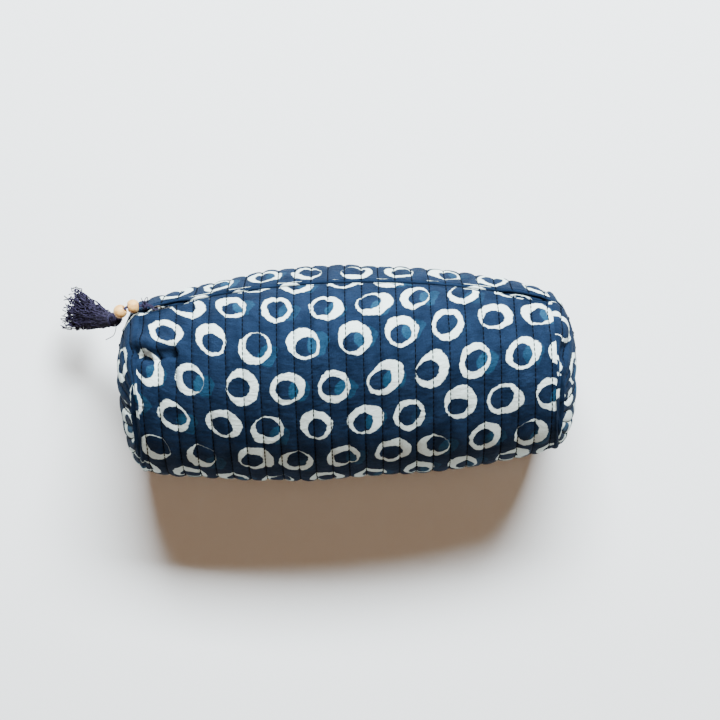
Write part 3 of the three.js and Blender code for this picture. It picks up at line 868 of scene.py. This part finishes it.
# Beads: two turned beads of pale wood with a fine open grain, rubbed smooth and only oiled.
bead_radius = 0.0037
bead_bore = 0.0015
wood_material, tree, wood_shader = new_material("pale_bead_wood")
wood_at = add_node(tree, "ShaderNodeUVMap", uv_map="turned").outputs[0]
grain_place = vectors(tree, "MULTIPLY", wood_at, (9.0, 1.6, 1.0))
grain = speckle_of(tree, grain_place, 3.0, 5.0, 0.7).outputs["Fac"]
figure_place = add_node(tree, "ShaderNodeTexCoord").outputs["Object"]
figure = speckle_of(tree, figure_place, 420.0, 2.0).outputs["Fac"]
wood_tone = maths(tree, "MULTIPLY_ADD", figure, 0.5, maths(tree, "MULTIPLY", grain, 0.6))
wood_colour = mix_colour(
    tree, ramp_between(tree, wood_tone, 0.35, 0.75), (0.50, 0.22, 0.05, 1), (0.80, 0.47, 0.15, 1)
)
tree.links.new(wood_colour, wood_shader.inputs["Base Color"])
tree.links.new(ramp_between(tree, grain, -0.6, 1.4), wood_shader.inputs["Roughness"])
wood_bump = add_node(tree, "ShaderNodeBump", {"Height": grain, "Strength": 0.25, "Distance": 0.0002})
tree.links.new(wood_bump.outputs[0], wood_shader.inputs["Normal"])
wood_shader.inputs["Coat Weight"].default_value = 0.08


def turned_bead(name, middle, axis):
    """A bead turned about its bore, with softly rounded edges at both holes."""
    half = bead_length / 2
    profile = [(bead_bore, -half * 0.86), (bead_bore + 0.0003, -half * 0.98)]
    for k in range(17):
        height = (k / 8 - 1) * half * 0.985
        profile.append((math.sqrt(bead_radius**2 - height**2), height))
    profile += [(bead_bore + 0.0003, half * 0.98), (bead_bore, half * 0.86)]
    side = np.cross(axis, (0.2, 0.9, 0.4))
    side /= np.linalg.norm(side)
    other = np.cross(axis, side)
    around = 40
    points = []
    faces = []
    corners = []
    for m in range(around):
        angle = 2 * math.pi * m / around
        for radius, height in profile:
            spread = math.cos(angle) * side + math.sin(angle) * other
            points.append(tuple(middle + radius * spread + height * axis))
    count = len(profile)
    for m in range(around):
        n = (m + 1) % around
        for k in range(count):
            q = (k + 1) % count
            faces.append((m * count + k, n * count + k, n * count + q, m * count + q))
            low = m / around
            high = (m + 1) / around
            near = k / count
            far = (k + 1) / count
            corners += [(low, near), (high, near), (high, far), (low, far)]
    mesh = bpy.data.meshes.new(name)
    mesh.from_pydata(points, [], faces)
    layer = mesh.uv_layers.new(name="turned")
    layer.data.foreach_set("uv", np.array(corners, dtype=np.float32).ravel())
    mesh.shade_smooth()
    mesh.materials.append(wood_material)
    piece = bpy.data.objects.new(name, mesh)
    bpy.context.collection.objects.link(piece)
    return piece


upper_bead = turned_bead("turned_bead_upper", upper_bead_at, upper_axis)
lower_bead = turned_bead("turned_bead_lower", lower_bead_at, lower_axis)
for bead_piece, node in ((upper_bead, "bead_upper"), (lower_bead, "bead_lower")):
    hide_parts(node)
    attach(bead_piece, "slider")

# Tassel: a bundle of dark violet cotton threads folded over the cord's ends, tied at the neck
# and frayed at the tips, where the crimped threads spread into a fan.
tassel_line, tassel_length = flow(
    [head_at, head_at + 0.007 * head_axis, from_bail(-36, -3, -28), from_bail(-56, 3.5, -52)], 0.0022
)
neck_reach = 0.0076
tassel_run = np.linspace(0, tassel_length, len(tassel_line))
tassel_ahead = np.gradient(tassel_line, axis=0)
tassel_ahead /= np.linalg.norm(tassel_ahead, axis=1, keepdims=True)
fan_way = np.array((0.25, 1, 0))
wide_way = fan_way - tassel_ahead * (tassel_ahead @ fan_way)[:, None]
wide_way /= np.linalg.norm(wide_way, axis=1, keepdims=True)
thin_way = np.cross(tassel_ahead, wide_way)


def tassel_half(run, tip):
    """Half the bundle's width: a round head, a tied neck and a flaring skirt."""
    dome = np.sin(np.clip(run / 0.0026, 0.25, 1) * math.pi / 2)
    head = (0.0038 - 0.0011 * smooth(0.0026, 0.0042, run)) * dome
    share = np.clip((run - neck_reach) / (tassel_length - neck_reach), 0, 1)
    skirt = 0.0027 + 0.0011 * smooth(0, 0.25, share) + (tip - 0.0038) * share**1.4
    return np.where(run < neck_reach, head, skirt)


guide_mesh = bpy.data.meshes.new("tassel_guide")
guide_mesh.from_pydata(
    [tuple(point) for point in tassel_line], [(k, k + 1) for k in range(len(tassel_line) - 1)], []
)
wide_half = wide_way * tassel_half(tassel_run, 0.0128)[:, None]
thin_half = thin_way * tassel_half(tassel_run, 0.0062)[:, None]
for name, values in (("wide_half", wide_half), ("thin_half", thin_half)):
    attribute = guide_mesh.attributes.new(name, "FLOAT_VECTOR", "POINT")
    attribute.data.foreach_set("vector", values.ravel().astype(np.float32))
tassel = bpy.data.objects.new("tassel_fringe", guide_mesh)
bpy.context.collection.objects.link(tassel)
fringe_material, tree, fringe_shader = new_material("violet_thread")
fringe_place = add_node(tree, "ShaderNodeTexCoord").outputs["Object"]
fringe_tone = speckle_of(tree, fringe_place, 520.0, 4.0, 0.7).outputs["Fac"]
fringe_colour = mix_colour(
    tree, ramp_between(tree, fringe_tone, 0.3, 0.75), (0.004, 0.003, 0.009, 1), (0.032, 0.025, 0.058, 1)
)
tree.links.new(fringe_colour, fringe_shader.inputs["Base Color"])
fringe_shader.inputs["Roughness"].default_value = 0.92
fringe_shader.inputs["Specular IOR Level"].default_value = 0.15
fringe_tree = bpy.data.node_groups.new("frayed_fringe", "GeometryNodeTree")
fringe_tree.interface.new_socket("Guide", in_out="INPUT", socket_type="NodeSocketGeometry")
fringe_tree.interface.new_socket("Threads", in_out="INPUT", socket_type="NodeSocketInt")
for name in ("Thread Radius", "Crimp", "Crimp Scale"):
    fringe_tree.interface.new_socket(name, in_out="INPUT", socket_type="NodeSocketFloat")
fringe_tree.interface.new_socket("Fringe", in_out="OUTPUT", socket_type="NodeSocketGeometry")
fringe_in = fringe_tree.nodes.new("NodeGroupInput")
fringe_out = fringe_tree.nodes.new("NodeGroupOutput")
guide = add_node(fringe_tree, "GeometryNodeMeshToCurve", {"Mesh": fringe_in.outputs["Guide"]})
copies = add_node(
    fringe_tree,
    "GeometryNodeDuplicateElements",
    {"Geometry": guide.outputs[0], "Amount": fringe_in.outputs["Threads"]},
    domain="SPLINE",
)
copy_index = copies.outputs["Duplicate Index"]


def chance_of(seed, low, high):
    """A number of its own for every thread, the same on each run."""
    made = add_node(fringe_tree, "FunctionNodeRandomValue", data_type="FLOAT")
    made.inputs[2].default_value = low
    made.inputs[3].default_value = high
    fringe_tree.links.new(copy_index, made.inputs["ID"])
    made.inputs["Seed"].default_value = seed
    return made.outputs[1]


def guide_vector(name):
    made = add_node(
        fringe_tree, "GeometryNodeInputNamedAttribute", {"Name": name}, data_type="FLOAT_VECTOR"
    )
    return made.outputs[0]


def scaled(vector, share):
    made = add_node(fringe_tree, "ShaderNodeVectorMath", {0: vector, "Scale": share}, operation="SCALE")
    return made.outputs[0]


trimmed = add_node(fringe_tree, "GeometryNodeTrimCurve", {"Curve": copies.outputs[0]}, mode="FACTOR")
fringe_tree.links.new(chance_of(3, 0.80, 1.0), trimmed.inputs["End"])
fine = add_node(fringe_tree, "GeometryNodeResampleCurve", {"Curve": trimmed.outputs[0], "Count": 26})
bearing = chance_of(5, 0.0, 2 * math.pi)
reach = maths(fringe_tree, "POWER", chance_of(8, 0.0, 1.0), 0.5)
wide_share = maths(fringe_tree, "MULTIPLY", reach, maths(fringe_tree, "COSINE", bearing))
thin_share = maths(fringe_tree, "MULTIPLY", reach, maths(fringe_tree, "SINE", bearing))
spread = vectors(
    fringe_tree,
    "ADD",
    scaled(guide_vector("wide_half"), wide_share),
    scaled(guide_vector("thin_half"), thin_share),
)
along = add_node(fringe_tree, "GeometryNodeSplineParameter").outputs["Factor"]
crimp_noise = add_node(
    fringe_tree,
    "ShaderNodeTexNoise",
    {"W": chance_of(11, 0.0, 40.0), "Scale": fringe_in.outputs["Crimp Scale"], "Detail": 1.5},
    noise_dimensions="4D",
)
here = add_node(fringe_tree, "GeometryNodeInputPosition").outputs[0]
fringe_tree.links.new(here, crimp_noise.inputs["Vector"])
crimp_way = vectors(fringe_tree, "SUBTRACT", crimp_noise.outputs["Color"], (0.5, 0.5, 0.5))
loosened = ramp_between(fringe_tree, along, 0.12, 0.75)
crimp_size = maths(fringe_tree, "MULTIPLY", loosened, fringe_in.outputs["Crimp"])
offset = vectors(fringe_tree, "ADD", spread, scaled(crimp_way, crimp_size))
moved = add_node(fringe_tree, "GeometryNodeSetPosition", {"Geometry": fine.outputs[0], "Offset": offset})
round_thread = add_node(
    fringe_tree,
    "GeometryNodeCurvePrimitiveCircle",
    {"Resolution": 4, "Radius": fringe_in.outputs["Thread Radius"]},
)
solid_threads = add_node(
    fringe_tree,
    "GeometryNodeCurveToMesh",
    {"Curve": moved.outputs[0], "Profile Curve": round_thread.outputs[0], "Fill Caps": True},
)
fringe_real = add_node(fringe_tree, "GeometryNodeRealizeInstances", {0: solid_threads.outputs[0]})
fringe_done = add_node(
    fringe_tree, "GeometryNodeSetMaterial", {0: fringe_real.outputs[0], "Material": fringe_material}
)
fringe_tree.links.new(fringe_done.outputs[0], fringe_out.inputs[0])
grow(
    tassel,
    fringe_tree,
    {"Threads": 260, "Thread Radius": 0.00030, "Crimp": 0.0100, "Crimp Scale": 190.0},
)
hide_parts("tassel_threads")
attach(tassel, "slider")

# Tassel binding: a length of the same cotton wound round the neck in a few tight turns,
# with one loose end that trails down past the head.
winding_radius = 0.0034
winding_half = 0.00125
winding_turns = 4
neck = np.argmin(np.abs(tassel_run - (neck_reach - 0.0016)))
neck_at = tassel_line[neck]
neck_axis = tassel_ahead[neck]
neck_side = wide_way[neck]
neck_other = np.cross(neck_axis, neck_side)
wound = np.linspace(0, winding_turns * 2 * math.pi, 161)
winding = (
    neck_at
    + winding_radius * np.cos(wound)[:, None] * neck_side
    + winding_radius * np.sin(wound)[:, None] * neck_other
    + np.linspace(-winding_half, winding_half, len(wound))[:, None] * neck_axis
)
trail_line, _ = flow(
    [winding[-1], (-0.1245, 0.0300, 0.0630), (-0.1262, 0.0245, 0.0600), (-0.1315, 0.0218, 0.0545)], 0.0006
)
tassel_binding = strand_piece("tassel_winding", [(winding, 0.00042), (trail_line, 0.00022)], 8)
binding_material = yarn_material(
    "violet_binding", (0.010, 0.009, 0.024, 1), (0.044, 0.036, 0.092, 1), 0.0026
)
tassel_binding.data.materials.append(binding_material)
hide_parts("tassel_binding")
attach(tassel_binding, "slider")

# The limp pieces of the pull, the cord, the tassel and its binding, each get their own copy of their
# mesh.
for piece, keep in ((pull_cord, 0.6), (tassel, 0.15), (tassel_binding, 0.15)):
    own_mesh(piece)
